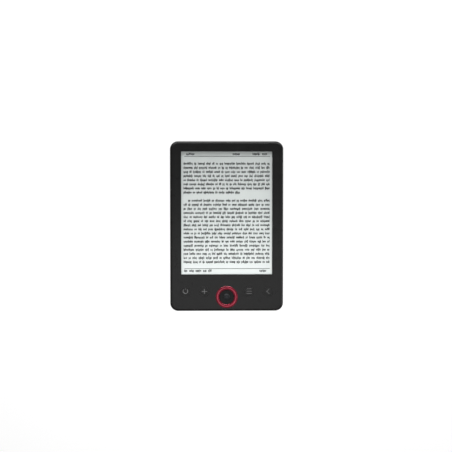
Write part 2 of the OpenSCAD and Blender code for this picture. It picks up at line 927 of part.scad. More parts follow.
module power_dome() {
    key_dome(-key_outer_x, key_y);
}

module plus_dome() {
    key_dome(-key_inner_x, key_y);
}

module menu_dome() {
    key_dome(key_inner_x, key_y);
}

module back_dome() {
    key_dome(key_outer_x, key_y);
}

module ok_dome() {
    key_dome(0, nav_y);
}

module nav_domes() {
    for (turn = [0:90:270])
        key_dome(pad_reach * cos(turn), nav_y + pad_reach * sin(turn));
}

// ribbon from under the keypad board down to its connector on the mainboard
module keypad_ribbon() {
    top = frame_z;
    low = keypad_contact_z + ribbon_t;
    start_y = keypad_top_y - 4;
    bend_y = keypad_top_y - 0.6;
    land_y = keypad_plug_y - 1.2;
    color("#b5792f") translate([keypad_ribbon_x - keypad_ribbon_w / 2, 0]) rotate([90, 0, 90])
        linear_extrude(keypad_ribbon_w) polygon([[start_y, top], [bend_y, top], [land_y, low],
            [keypad_plug_y + 1, low], [keypad_plug_y + 1, low - ribbon_t],
            [land_y, low - ribbon_t], [bend_y, top - ribbon_t], [start_y, top - ribbon_t]]);
}

// ---------------------------------------------------------------- fasteners

module keypad_screws() {
    color("silver") at_keypad_screws() translate([0, 0, keypad_top]) mirror([0, 0, 1])
        screw(small_screw, keypad_shank);
}

module frame_screws() {
    color("silver") at_frame_screws() translate([0, 0, frame_z]) screw(frame_screw, frame_shank);
}

module board_screws() {
    color("silver") at_board_screws() translate([0, 0, board_z]) screw(board_screw, board_shank);
}

module case_screws() {
    color("#6b6e72") at_case_screws() translate([0, 0, case_recess]) screw(case_screw, case_shank);
}

module screw_inserts() {
    color("goldenrod") at_case_screws() translate([0, 0, case_boss_top + 0.1]) difference() {
        cylinder(r = insert_r, h = insert_h);
        translate([0, 0, -1]) cylinder(r = case_screw[2] + screw_gap, h = insert_h + 2);
    }
}

// ---------------------------------------------------------------- nodes

rear_cover();
front_bezel();
nav_ring();
nav_pad();
nav_gimbal();
ok_key();
power_key();
plus_key();
menu_key();
back_key();
display_film();
display_glass();
display_drivers();
display_ribbon();
display_gasket();
display_tape();
mid_frame();
mainboard();
shield_can();
processor();
memory_chip();
storage_chip();
power_chip();
power_coils();
clock_crystal();
small_parts();
display_connector();
keypad_connector();
battery_connector();
usb_shell();
usb_tongue();
card_socket();
reset_switch();
reset_plunger();
charge_led();
light_pipe();
battery_cell();
battery_board();
battery_lead_red();
battery_lead_black();
battery_tape();
keypad_board();
power_dome();
plus_dome();
menu_dome();
back_dome();
ok_dome();
nav_domes();
keypad_ribbon();
keypad_screws();
frame_screws();
board_screws();
case_screws();
screw_inserts();
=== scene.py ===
"""Looks of the e-reader: its finishes, printed icons, the marks on the page and the studio."""
import bpy
import json
import math
import random
from collections import namedtuple
from mathutils import Matrix, Vector


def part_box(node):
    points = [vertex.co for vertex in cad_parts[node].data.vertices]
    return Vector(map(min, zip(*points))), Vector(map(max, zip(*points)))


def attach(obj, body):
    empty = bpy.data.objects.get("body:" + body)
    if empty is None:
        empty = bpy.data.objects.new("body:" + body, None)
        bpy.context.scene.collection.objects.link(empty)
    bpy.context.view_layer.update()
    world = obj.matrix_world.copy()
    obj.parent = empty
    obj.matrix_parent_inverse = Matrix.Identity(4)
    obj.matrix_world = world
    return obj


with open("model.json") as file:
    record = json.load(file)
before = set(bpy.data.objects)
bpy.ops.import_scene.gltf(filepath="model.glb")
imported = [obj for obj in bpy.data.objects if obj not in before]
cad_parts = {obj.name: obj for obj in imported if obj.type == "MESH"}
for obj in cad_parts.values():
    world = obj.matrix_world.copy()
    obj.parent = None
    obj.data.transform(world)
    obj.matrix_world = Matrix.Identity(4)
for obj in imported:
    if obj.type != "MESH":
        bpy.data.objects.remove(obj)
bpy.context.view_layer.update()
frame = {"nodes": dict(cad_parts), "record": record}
MM = 0.001

# ---------------------------------------------------------------- places taken from the frame

FACE_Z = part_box("front_bezel")[1].z

# how far the film runs under the front plate on each side of the window
FILM_MARGIN = 2.5 * MM

Page = namedtuple("Page", "left right top z")


def visible_page():
    """The part of the film that shows in the window."""
    low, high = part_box("display_film")
    return Page(low.x + FILM_MARGIN, high.x - FILM_MARGIN, high.y - FILM_MARGIN, high.z)


PAGE = visible_page()

# ---------------------------------------------------------------- camera, floor and light

# all in metres, apart from the lens in millimetres
CAMERA_AWAY = 1.2
CAMERA_LENS = 95.83
CAMERA_LEAN = (-0.03, 0.06)         # stands left of the middle and towards the top edge
CAMERA_AIM = (-0.00075, 0.00045)    # looks at this point of the front face

AIR_GLOW = 0.04                     # strength of the light from above the horizon
TABLE_GLOW = 0.2                    # strength of the light that a table throws back from below it
HORIZON_BLEND = 0.05                # height at which the blend ends, for a sky of radius 1

FLOOR_DROP = 0.05 * MM
FLOOR_RADIUS = 2.0
FLOOR_SIDES = 96
FLOOR_GLOW = 0.9
WALL_CURVE = 0.6
WALL_STEPS = 12
WALL_HEIGHT = 1.6

FACE_MIDDLE = (0.0, 0.0, FACE_Z)
KEY_AREA = (0.0, -0.08, 0.0)

# place, aim and size in metres, power in watts, then whether it lights matt surfaces and whether
# gloss mirrors it
Softbox = namedtuple("Softbox", "name place aim size power on_matt in_gloss")
SOFTBOXES = (
    Softbox("softbox_top", (0.0, 0.5, 0.15), FACE_MIDDLE, (1.0, 0.3), 6.9, True, False),
    Softbox("softbox_rim", (0.0, 0.49, 0.29), FACE_MIDDLE, (1.0, 0.24), 4.9, False, True),
    Softbox("softbox_low", (0.0, -0.08, 0.15), KEY_AREA, (0.4, 0.12), 0.76, True, False),
    Softbox("softbox_over", (0.0, -0.2, 1.1), FACE_MIDDLE, (0.5, 0.4), 0.42, True, True),
    Softbox("softbox_right", (0.5, -0.02, 0.08), FACE_MIDDLE, (0.4, 0.14), 1.2, True, True),
)


def make_camera():
    """Camera that looks straight down at the page, with the page's top edge up."""
    aim = Vector((*CAMERA_AIM, FACE_Z))
    back = Vector((*CAMERA_LEAN, CAMERA_AWAY)).normalized()
    across = Vector((0, 1, 0)).cross(back).normalized()
    up = back.cross(across)
    data = bpy.data.cameras.new("camera")
    data.lens = CAMERA_LENS
    camera = bpy.data.objects.new("camera", data)
    turn = Matrix((across, up, back)).transposed().to_4x4()
    camera.matrix_world = Matrix.Translation(aim + back * CAMERA_AWAY) @ turn
    bpy.context.scene.collection.objects.link(camera)
    bpy.context.scene.camera = camera


def floor_profile():
    """Radius and height of the rings of points, from the flat floor's rim up to the wall's top."""
    profile = [(FLOOR_RADIUS, 0.0)]
    for i in range(1, WALL_STEPS + 1):
        angle = math.pi / 2 * i / WALL_STEPS
        radius = FLOOR_RADIUS + WALL_CURVE * math.sin(angle)
        profile.append((radius, WALL_CURVE * (1 - math.cos(angle))))
    profile.append((FLOOR_RADIUS + WALL_CURVE, WALL_CURVE + WALL_HEIGHT))
    return profile


def make_floor():
    """Round pale floor that curves up into a wall all the way round."""
    profile = floor_profile()
    points = [(0.0, 0.0, -FLOOR_DROP)]
    for radius, height in profile:
        for side in range(FLOOR_SIDES):
            angle = 2 * math.pi * side / FLOOR_SIDES
            points.append((radius * math.cos(angle), radius * math.sin(angle), height - FLOOR_DROP))
    faces = [(0, 1 + side, 1 + (side + 1) % FLOOR_SIDES) for side in range(FLOOR_SIDES)]
    for ring in range(len(profile) - 1):
        for side in range(FLOOR_SIDES):
            this = 1 + ring * FLOOR_SIDES + side
            following = 1 + ring * FLOOR_SIDES + (side + 1) % FLOOR_SIDES
            faces.append((this, this + FLOOR_SIDES, following + FLOOR_SIDES, following))
    floor = mesh_object("studio_floor", points, faces)
    for face in floor.data.polygons:
        face.use_smooth = True
    floor.data.materials.append(floor_finish())
    # the glow below the horizon stands in for the light that the floor would throw back
    floor.visible_diffuse = False
    floor.visible_glossy = False


def add_softbox(box):
    """Rectangular soft light that the camera doesn't see."""
    data = bpy.data.lights.new(box.name, "AREA")
    data.shape = "RECTANGLE"
    data.size, data.size_y = box.size
    data.energy = box.power
    light = bpy.data.objects.new(box.name, data)
    light.location = box.place
    away = Vector(box.place) - Vector(box.aim)
    light.rotation_euler = away.to_track_quat("Z", "Y").to_euler()
    light.visible_camera = False
    light.visible_diffuse = box.on_matt
    light.visible_glossy = box.in_gloss
    bpy.context.scene.collection.objects.link(light)


def make_lights():
    for box in SOFTBOXES:
        add_softbox(box)
    bpy.context.scene.world = studio_air()
    bpy.context.scene.view_settings.view_transform = "Standard"


def studio_air():
    """Dim air above the horizon, and below it the soft glow that a white table throws back."""
    world = bpy.data.worlds.new("studio_air")
    world.use_nodes = True
    nodes = world.node_tree.nodes
    links = world.node_tree.links
    background = nodes["Background"]
    background.inputs["Color"].default_value = (1.0, 1.0, 1.0, 1.0)
    height = nodes.new("ShaderNodeSeparateXYZ")
    links.new(nodes.new("ShaderNodeTexCoord").outputs["Generated"], height.inputs[0])
    glow = nodes.new("ShaderNodeMapRange")
    for socket, value in ((1, -HORIZON_BLEND), (2, HORIZON_BLEND), (3, TABLE_GLOW), (4, AIR_GLOW)):
        glow.inputs[socket].default_value = value
    links.new(height.outputs["Z"], glow.inputs[0])
    links.new(glow.outputs[0], background.inputs["Strength"])
    return world


# ---------------------------------------------------------------- finishes

class Finish:
    """A Principled material whose colour, roughness and relief vary over the piece.

    Sizes and depths are in metres of the frame.
    """

    def __init__(self, name, **sockets):
        self.material = bpy.data.materials.new(name)
        self.material.use_nodes = True
        self.tree = self.material.node_tree
        self.shader = self.tree.nodes["Principled BSDF"]
        self.place = self.tree.nodes.new("ShaderNodeTexCoord").outputs["Object"]
        for socket, value in sockets.items():
            self.shader.inputs[socket.replace("_", " ")].default_value = value

    def node(self, kind, sources=(), **settings):
        """New node with its settings; sources gives (input, output or value) pairs."""
        made = self.tree.nodes.new(kind)
        for key, value in settings.items():
            setattr(made, key, value)
        for socket, source in sources:
            if isinstance(source, bpy.types.NodeSocket):
                self.tree.links.new(source, made.inputs[socket])
            else:
                made.inputs[socket].default_value = source
        return made

    def feed(self, socket, source):
        """Links an output to one of the shader's inputs."""
        self.tree.links.new(source, self.shader.inputs[socket])

    def stretched(self, factors):
        """The place, squeezed by a factor along each axis, for marks that run one way."""
        sources = [("Vector", self.place), ("Scale", factors)]
        return self.node("ShaderNodeMapping", sources).outputs["Vector"]

    def cloud(self, size, detail=2.0, place=None):
        """Soft noise from 0 to 1, with blots about this many metres across."""
        sources = [("Vector", place or self.place), ("Scale", 1 / size), ("Detail", detail)]
        return self.node("ShaderNodeTexNoise", sources).outputs["Fac"]

    def cells(self, size):
        """Distance to the nearest of many scattered points, for pebbles and grain."""
        sources = [("Vector", self.place), ("Scale", 1 / size)]
        return self.node("ShaderNodeTexVoronoi", sources).outputs["Distance"]

    def ranged(self, source, low, high, floor=0.3, ceiling=0.7):
        """A value from low to high as the source goes from floor to ceiling."""
        sources = [(0, source), (1, floor), (2, ceiling), (3, low), (4, high)]
        return self.node("ShaderNodeMapRange", sources).outputs[0]

    def mixed(self, share, first, second):
        """Colour between two colours, or outputs that hold colours."""
        mix = self.node("ShaderNodeMix", [("Factor", share)], data_type="RGBA")
        for socket, colour in ((mix.inputs[6], first), (mix.inputs[7], second)):
            if isinstance(colour, bpy.types.NodeSocket):
                self.tree.links.new(colour, socket)
            else:
                socket.default_value = (*colour, 1.0)
        return mix.outputs[2]

    def edges(self, radius):
        """1 on sharp edges and 0 on flats and smooth curves."""
        rounded = self.node("ShaderNodeBevel", [("Radius", radius)], samples=4).outputs["Normal"]
        flat = self.node("ShaderNodeNewGeometry").outputs["Normal"]
        sources = [(0, rounded), (1, flat)]
        alike = self.node("ShaderNodeVectorMath", sources, operation="DOT_PRODUCT").outputs["Value"]
        return self.ranged(alike, 1.0, 0.0, floor=0.75, ceiling=0.99)

    def worked(self, operation, first, second):
        """Result of a sum or product of two values or outputs."""
        return self.node("ShaderNodeMath", [(0, first), (1, second)], operation=operation).outputs[0]

    def scaled(self, source, factor):
        return self.worked("MULTIPLY", source, factor)

    def added(self, first, second):
        return self.worked("ADD", first, second)

    def relief(self, height, depth):
        """Bump of this depth."""
        sources = [("Height", height), ("Distance", depth), ("Strength", 1.0)]
        self.feed("Normal", self.node("ShaderNodeBump", sources).outputs["Normal"])


def shade(colour, factor):
    """The colour, made darker or lighter by a factor."""
    return tuple(min(1.0, c * factor) for c in colour)


def moulded(name, colour, roughness, grain=0.25 * MM, depth=0.008 * MM, wear=1.6, **sockets):
    """Moulded plastic: spark-eroded grain, faint mottling, edges rubbed paler and smoother."""
    finish = Finish(name, **sockets)
    mottle = finish.cloud(9 * MM, 3.0)
    speckle = finish.cloud(grain, 1.0)
    rubbed = finish.scaled(finish.edges(0.35 * MM), finish.ranged(finish.cloud(4 * MM), 0.3, 1.0))
    body = finish.mixed(finish.ranged(mottle, 0.0, 1.0), shade(colour, 0.93), shade(colour, 1.07))
    flecked = finish.mixed(finish.ranged(speckle, 0.0, 0.25), body, shade(colour, 1.4))
    finish.feed("Base Color", finish.mixed(rubbed, flecked, shade(colour, wear)))
    uneven = finish.added(speckle, mottle)
    rough = finish.ranged(uneven, roughness - 0.05, roughness + 0.05, floor=0.7, ceiling=1.3)
    finish.feed("Roughness", finish.added(rough, finish.scaled(rubbed, -0.12)))
    finish.relief(finish.added(speckle, finish.scaled(finish.cells(1.7 * grain), 0.6)), depth)
    return finish.material


def metal(name, colour, roughness, along=(1, 1, 1), size=0.3 * MM, depth=0.003 * MM):
    """Plated, brushed or cast metal: streaks along one way, stains and bright edges."""
    finish = Finish(name, Metallic=1.0)
    streaks = finish.cloud(size, 3.0, finish.stretched(along))
    stains = finish.cloud(5 * MM, 4.0)
    bright = finish.edges(0.15 * MM)
    body = finish.mixed(finish.ranged(stains, 0.0, 1.0), shade(colour, 0.85), colour)
    finish.feed("Base Color", finish.mixed(bright, body, shade(colour, 1.25)))
    uneven = finish.added(streaks, stains)
    rough = finish.ranged(uneven, roughness - 0.08, roughness + 0.1, floor=0.7, ceiling=1.3)
    finish.feed("Roughness", rough)
    finish.relief(streaks, depth)
    return finish.material


def lacquered(name, colour):
    """Deep gloss red under a clear coat, with the slow waves of sprayed lacquer."""
    finish = Finish(name, Metallic=0.78, Coat_Weight=1.0, Coat_Roughness=0.05, Coat_IOR=1.6)
    waves = finish.cloud(3 * MM, 1.0)
    thickness = finish.ranged(finish.cloud(4 * MM), 0.0, 1.0)
    finish.feed("Base Color", finish.mixed(thickness, shade(colour, 0.85), shade(colour, 1.1)))
    finish.feed("Roughness", finish.ranged(waves, 0.1, 0.14))
    finish.relief(waves, 0.0005 * MM)
    return finish.material


def page_film(name, colour):
    """Matt electronic paper: pale grey with fine speckle and a faintly uneven tone."""
    finish = Finish(name, Specular_IOR_Level=0.35)
    speckle = finish.cloud(0.12 * MM, 1.0)
    tone = finish.cloud(14 * MM, 3.0)
    ground = finish.mixed(finish.ranged(tone, 0.0, 1.0), shade(colour, 0.985), shade(colour, 1.015))
    speckled = finish.mixed(finish.ranged(speckle, 0.0, 0.5), ground, shade(colour, 0.9))
    finish.feed("Base Color", speckled)
    finish.feed("Roughness", finish.ranged(speckle, 0.55, 0.7))
    finish.relief(speckle, 0.004 * MM)
    return finish.material


def page_ink(name, colour):
    """Dark pigment seen through the matt film."""
    finish = Finish(name, Specular_IOR_Level=0.3)
    speckle = finish.cloud(0.1 * MM, 1.0)
    density = finish.ranged(speckle, 0.0, 1.0)
    finish.feed("Base Color", finish.mixed(density, shade(colour, 0.7), shade(colour, 1.5)))
    finish.feed("Roughness", finish.ranged(speckle, 0.6, 0.75))
    finish.relief(speckle, 0.003 * MM)
    return finish.material


def screen_print(name, colour):
    """Thin grey pad print with slightly broken cover and a rubbed surface."""
    finish = Finish(name)
    cover = finish.cloud(0.18 * MM, 2.0)
    rubbing = finish.cloud(2 * MM, 3.0)
    solid = finish.mixed(finish.ranged(rubbing, 0.0, 1.0), shade(colour, 0.8), shade(colour, 1.1))
    broken = finish.mixed(finish.ranged(cover, 0.0, 0.35), solid, shade(colour, 0.4))
    finish.feed("Base Color", broken)
    finish.feed("Roughness", finish.ranged(rubbing, 0.4, 0.55))
    finish.relief(cover, 0.003 * MM)
    return finish.material


def clear(name, colour, roughness):
    """Clear glass or resin with faint smears."""
    finish = Finish(name, Transmission_Weight=0.9, IOR=1.5)
    smears = finish.cloud(3 * MM, 4.0, finish.stretched((1, 3, 1)))
    haze = finish.ranged(smears, 0.0, 1.0)
    finish.feed("Base Color", finish.mixed(haze, shade(colour, 0.95), colour))
    finish.feed("Roughness", finish.ranged(smears, roughness, roughness + 0.08))
    finish.relief(smears, 0.001 * MM)
    return finish.material


def soft_sheet(name, colour, pore=0.2 * MM, depth=0.02 * MM, roughness=0.85):
    """Foam, tape or rubber: pores with painted shade in their hollows, and a dull, uneven surface.
    """
    finish = Finish(name, Specular_IOR_Level=0.3)
    pores = finish.cells(pore)
    patches = finish.cloud(3 * MM, 3.0)
    body = finish.mixed(finish.ranged(patches, 0.0, 1.0), shade(colour, 0.85), shade(colour, 1.1))
    # painted shade: the base colour is darkened towards the middle of each pore, where the relief
    # dips
    painted_pore_shade = finish.ranged(pores, 0.4, 0.0, floor=0.0, ceiling=0.4)
    finish.feed("Base Color", finish.mixed(painted_pore_shade, body, shade(colour, 0.5)))
    finish.feed("Roughness", finish.ranged(patches, roughness - 0.08, roughness + 0.05))
    finish.relief(pores, depth)
    return finish.material


def solder_mask(name, colour):
    """Green lacquer over a board's copper tracks, which stand a little proud."""
    finish = Finish(name, Coat_Weight=0.4, Coat_Roughness=0.2)
    sources = [("Vector", finish.place), ("Scale", 1 / (2.4 * MM)),
               ("Mortar Size", 0.06), ("Brick Width", 1.7)]
    tracks = finish.node("ShaderNodeTexBrick", sources, offset=0.37, squash=0.7).outputs["Fac"]
    patches = finish.cloud(6 * MM, 3.0)
    body = finish.mixed(finish.ranged(patches, 0.0, 1.0), shade(colour, 0.8), shade(colour, 1.1))
    finish.feed("Base Color", finish.mixed(tracks, body, shade(colour, 1.8)))
    finish.feed("Roughness", finish.ranged(patches, 0.3, 0.45))
    finish.relief(tracks, 0.03 * MM)
    return finish.material


def pouch_foil(name, colour):
    """Laminated foil of a pouch cell: crumpled facets and a satin sheen."""
    finish = Finish(name, Metallic=0.85)
    folds = finish.cells(5 * MM)
    crumple = finish.cloud(2 * MM, 4.0)
    body = finish.mixed(finish.ranged(crumple, 0.0, 1.0), shade(colour, 0.8), colour)
    finish.feed("Base Color", body)
    finish.feed("Roughness", finish.ranged(crumple, 0.28, 0.45))
    finish.relief(finish.added(folds, finish.scaled(crumple, 0.5)), 0.08 * MM)
    return finish.material


def flex_film(name, colour):
    """Amber flexible circuit with fine parallel conductors along the ribbon."""
    finish = Finish(name, Coat_Weight=0.3)
    sources = [("Vector", finish.place), ("Scale", 1 / (1.6 * MM)), ("Distortion", 0.0)]
    lines = finish.node("ShaderNodeTexWave", sources, bands_direction="X").outputs["Fac"]
    patches = finish.cloud(3 * MM, 2.0)
    body = finish.mixed(finish.ranged(patches, 0.0, 1.0), shade(colour, 0.85), colour)
    conductors = finish.ranged(lines, 0.0, 0.6)
    finish.feed("Base Color", finish.mixed(conductors, body, shade(colour, 0.45)))
    finish.feed("Roughness", finish.ranged(patches, 0.25, 0.4))
    finish.relief(lines, 0.01 * MM)
    return finish.material


def floor_finish():
    """Paper sweep that glows, so that it stays white round the piece."""
    finish = Finish("studio_white", Emission_Color=(1.0, 1.0, 1.0, 1.0),
                    Emission_Strength=FLOOR_GLOW)
    fibres = finish.cloud(1.2 * MM, 3.0)
    tone = finish.ranged(fibres, 0.0, 1.0)
    finish.feed("Base Color", finish.mixed(tone, (0.1, 0.1, 0.1), (0.12, 0.12, 0.12)))
    finish.feed("Roughness", finish.ranged(fibres, 0.75, 0.9))
    return finish.material


STEEL = (0.62, 0.63, 0.65)
CHIP_BLACK = (0.02, 0.02, 0.022)
CASE_BLACK = (0.007, 0.007, 0.007)


def all_finishes():
    """Every material by name: one for each slot of the record, and the middle key's own."""
    return {
        "case_plastic": moulded("case_plastic", CASE_BLACK, 0.32, Specular_IOR_Level=0.3),
        "cover_plastic": moulded("cover_plastic", (0.0115, 0.012, 0.0125), 0.62,
                                 grain=0.16 * MM, depth=0.005 * MM),
        "key_plastic": moulded("key_plastic", CASE_BLACK, 0.32, grain=0.2 * MM,
                               Specular_IOR_Level=0.3),
        "ok_plastic": moulded("ok_plastic", (0.008, 0.0083, 0.0095), 0.3, grain=0.2 * MM),
        "pad_plastic": moulded("pad_plastic", (0.005, 0.005, 0.005), 0.4,
                               grain=0.2 * MM, depth=0.005 * MM, Specular_IOR_Level=0.2),
        "ring_red": lacquered("ring_red", (0.34, 0.024, 0.05)),
        "paper_screen": page_film("paper_screen", (0.43, 0.456, 0.448)),
        "panel_glass": clear("panel_glass", (0.75, 0.85, 0.82), 0.05),
        "foam": soft_sheet("foam", (0.02, 0.02, 0.02)),
        "tape": soft_sheet("tape", (0.7, 0.68, 0.62), pore=0.5 * MM, depth=0.005 * MM,
                           roughness=0.6),
        "frame_metal": metal("frame_metal", (0.55, 0.56, 0.58), 0.45,
                             size=0.5 * MM, depth=0.012 * MM),
        "circuit_board": solder_mask("circuit_board", (0.012, 0.09, 0.04)),
        "chip_plastic": moulded("chip_plastic", CHIP_BLACK, 0.6, grain=0.12 * MM),
        "coil_ferrite": moulded("coil_ferrite", (0.06, 0.06, 0.065), 0.7,
                                grain=0.3 * MM, depth=0.02 * MM),
        "part_ceramic": moulded("part_ceramic", (0.38, 0.27, 0.17), 0.45, grain=0.1 * MM),
        "sheet_steel": metal("sheet_steel", STEEL, 0.32, along=(1, 12, 12)),
        "dark_steel": metal("dark_steel", (0.11, 0.11, 0.12), 0.38, depth=0.006 * MM),
        "connector_plastic": moulded("connector_plastic", (0.72, 0.66, 0.52), 0.5),
        "socket_plastic": moulded("socket_plastic", (0.012, 0.012, 0.013), 0.45),
        "flex_polyimide": flex_film("flex_polyimide", (0.42, 0.2, 0.045)),
        "battery_foil": pouch_foil("battery_foil", (0.62, 0.63, 0.65)),
        "lead_red": soft_sheet("lead_red", (0.4, 0.012, 0.012),
                               pore=0.15 * MM, depth=0.003 * MM, roughness=0.5),
        "lead_black": soft_sheet("lead_black", (0.015, 0.015, 0.015),
                                 pore=0.15 * MM, depth=0.003 * MM, roughness=0.5),
        "brass_insert": metal("brass_insert", (0.68, 0.47, 0.16), 0.35, along=(6, 6, 1)),
        "led_resin": clear("led_resin", (0.9, 0.86, 0.6), 0.12),
        "clear_plastic": clear("clear_plastic", (0.9, 0.95, 0.97), 0.1),
    }


# ---------------------------------------------------------------- CAD nodes

# nodes whose edges show: the rounding that a mould or a press leaves on them, in millimetres
EDGE_ROUNDING = {
    "front_bezel": 0.12, "rear_cover": 0.12, "nav_pad": 0.08, "ok_key": 0.05, "nav_ring": 0.02,
    "power_key": 0.05, "plus_key": 0.05, "menu_key": 0.05, "back_key": 0.05,
    "usb_shell": 0.04, "usb_tongue": 0.04, "card_socket": 0.05, "case_screws": 0.06,
    "light_pipe": 0.06,
}

WELD_REACH = 0.0002 * MM
SHARP_ANGLE = math.radians(35)

# nodes that get another finish than their slot's: the middle key is a little glossier
OWN_FINISH = {"ok_key": "ok_plastic"}


def dress_nodes():
    """Gives every node its finish, and the ones in view their rounded edges."""
    finishes = all_finishes()
    slots = {part["node"]: part["material_slot"] for part in frame["record"]["subparts"]}
    for name, node in frame["nodes"].items():
        for place in node.material_slots:
            place.material = finishes[OWN_FINISH.get(name, slots[name])]
    for name, width in EDGE_ROUNDING.items():
        round_edges(frame["nodes"][name], width * MM)


def round_edges(node, width):
    """Welds the imported faces together, rounds the sharp edges and evens the shading."""
    weld = node.modifiers.new("weld", "WELD")
    weld.merge_threshold = WELD_REACH
    bevel = node.modifiers.new("rounding", "BEVEL")
    bevel.width = width
    bevel.segments = 2
    bevel.limit_method = "ANGLE"
    bevel.angle_limit = SHARP_ANGLE
    bevel.use_clamp_overlap = True
    shading = node.modifiers.new("shading", "WEIGHTED_NORMAL")
    shading.keep_sharp = False


# ---------------------------------------------------------------- meshes made here

def mesh_object(name, points, faces):
    """New object in the scene, with these points and faces."""
    mesh = bpy.data.meshes.new(name)
    mesh.from_pydata(points, [], faces)
    mesh.validate()
    made = bpy.data.objects.new(name, mesh)
    bpy.context.scene.collection.objects.link(made)
    return made


def plates(name, outlines, low, high):
    """Thin closed plates from z low to high, one for each outline of (x, y) points.

    The points of an outline are taken anticlockwise.
    """
    points = []
    faces = []
    for outline in outlines:
        first = len(points)
        count = len(outline)
        points += [(x, y, low) for x, y in outline]
        points += [(x, y, high) for x, y in outline]
        faces.append(tuple(first + count + i for i in range(count)))
        faces.append(tuple(first + i for i in reversed(range(count))))
        for i in range(count):
            j = (i + 1) % count
            faces.append((first + i, first + j, first + count + j, first + count + i))
    return mesh_object(name, points, faces)


def block(left, right, bottom, top):
    """Outline of a rectangle."""
    return [(left, bottom), (right, bottom), (right, top), (left, top)]


def thick_line(path, width, cap_steps=6):
    """Outline of a line through the points, with mitred turns and round ends."""
    path = [Vector(point) for point in path]
    ways = [(b - a).normalized() for a, b in zip(path, path[1:])]
    left = []
    right = []
    for i, point in enumerate(path):
        before = ways[max(i - 1, 0)]
        after = ways[min(i, len(ways) - 1)]
        turn = (before + after).normalized()
        side = Vector((-turn.y, turn.x))
        reach = width / 2 / side.dot(Vector((-after.y, after.x)))
        left.append(point + side * reach)
        right.append(point - side * reach)

    def cap(centre, way):
        start = math.atan2(way.y, way.x) - math.pi / 2
        angles = [start + math.pi * k / cap_steps for k in range(1, cap_steps)]
        return [centre + Vector((math.cos(a), math.sin(a))) * width / 2 for a in angles]

    outline = right + cap(path[-1], ways[-1]) + left[::-1] + cap(path[0], -ways[0])
    return [(point.x, point.y) for point in outline]


def arc(radius, start, end, steps=36):
    """Points along a circle round the origin, between two angles in degrees."""
    angles = [math.radians(start + (end - start) * i / steps) for i in range(steps + 1)]
    return [(radius * math.cos(a), radius * math.sin(a)) for a in angles]


# ---------------------------------------------------------------- icons on the keys

PRINT_SUNK = 0.02 * MM
PRINT_PROUD = 0.02 * MM
PRINT_GREY = (0.095, 0.095, 0.095)

# width of a full line, which each icon uses a share of, then lengths from the key's middle
ICON_STROKE = 0.6 * MM
POWER_RISE = 0.3 * MM
POWER_RADIUS = 2.3 * MM
POWER_RING = (140, 400)         # degrees at which the open ring starts and ends
POWER_BAR = (1.6 * MM, 2.6 * MM)
PLUS_REACH = 2.6 * MM
MENU_REACH = 2.3 * MM
MENU_ROWS = (2.5 * MM, 0.15 * MM, -2.1 * MM)
BACK_TIP = -1.3 * MM
BACK_TAIL = 1.2 * MM
BACK_REACH = 2.2 * MM


def power_icon():
    """Open ring with a short bar in its gap."""
    ring = [(x, y + POWER_RISE) for x, y in arc(POWER_RADIUS, *POWER_RING)]
    bar = [(0, end + POWER_RISE) for end in POWER_BAR]
    return [thick_line(ring, 0.9 * ICON_STROKE), thick_line(bar, 0.5 * ICON_STROKE)]


def plus_icon():
    """Cross with round ends, as one outline."""
    half = 0.4 * ICON_STROKE
    outline = []
    for quarter in range(4):
        turn = Matrix.Rotation(math.pi / 2 * quarter, 2)
        arm = [(half, -half)] + [(PLUS_REACH - half + x, y) for x, y in arc(half, -90, 90, 6)]
        outline += [tuple(turn @ Vector(point)) for point in arm]
    return [outline]


def menu_icon():
    """Three bars."""
    bars = [[(-MENU_REACH, y), (MENU_REACH, y)] for y in MENU_ROWS]
    return [thick_line(bar, 0.6 * ICON_STROKE) for bar in bars]


def back_icon():
    """Arrowhead that points to the left."""
    arrowhead = [(BACK_TAIL, BACK_REACH), (BACK_TIP, 0), (BACK_TAIL, -BACK_REACH)]
    return [thick_line(arrowhead, 0.6 * ICON_STROKE)]


def make_icons():
    """Prints each small key's icon on its key."""
    print_grey = screen_print("icon_print", PRINT_GREY)
    for key, outlines in (("power_key", power_icon()), ("plus_key", plus_icon()),
                          ("menu_key", menu_icon()), ("back_key", back_icon())):
        low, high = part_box(key)
        middle = (low + high) / 2
        placed = [[(x + middle.x, y + middle.y) for x, y in outline] for outline in outlines]
        icon = plates(key.replace("key", "icon"), placed, high.z - PRINT_SUNK, high.z + PRINT_PROUD)
        icon.data.materials.append(print_grey)
        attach(icon, key)


# ---------------------------------------------------------------- marks on the page

INK_GREY = (0.032, 0.034, 0.034)
INK_SUNK = 0.01 * MM
INK_PROUD = 0.015 * MM

# lines of text: distances down from the page's top edge and in from its sides
LINE_PITCH = 4.092 * MM
FIRST_LINE = 11.93 * MM
LINE_COUNT = 25
BLANK_LINE = 8
SHORT_LINE = 7
SHORT_WIDTH = 56.3 * MM
INDENTED_LINE = 9
INDENT = 4.6 * MM
TEXT_LEFT = 2.2 * MM
TEXT_RIGHT = 2.6 * MM
TEXT_FOOT = 1.0 * MM            # from a line's middle down to the foot of its marks

# rules, header and footer: distances as above
RULE_LEFT = 3.1 * MM
RULE_RIGHT = 2.2 * MM
RULE_WIDTH = 0.55 * MM
HEADER_LINE = 2.5 * MM
HEADER_RULE = 5.0 * MM
HEADER_SIZE = 0.88
HEADER_WORDS = ((5.0 * MM, 8), (51.2 * MM, 7), (71.0 * MM, 7))     # start and count of marks
FOOTER_RULE = 117.15 * MM
FOOTER_LINE = 119.2 * MM
FOOTER_TEXT = (2.6 * MM, 30.3 * MM)
FOOTER_COUNT = (12.8 * MM, 6)   # start, in from the right, and count of marks
SMALL_FOOT = 0.75 * MM

# battery gauge: ends in from the page's right edge, then sizes
GAUGE_LEFT = 10.0 * MM
GAUGE_RIGHT = 5.3 * MM
GAUGE_HALF = 0.95 * MM
GAUGE_WALL = 0.3 * MM
GAUGE_CELLS = 4
CELL_PITCH = 1.2 * MM
CELL_WIDTH = 0.75 * MM
GAUGE_CAP = 0.4 * MM

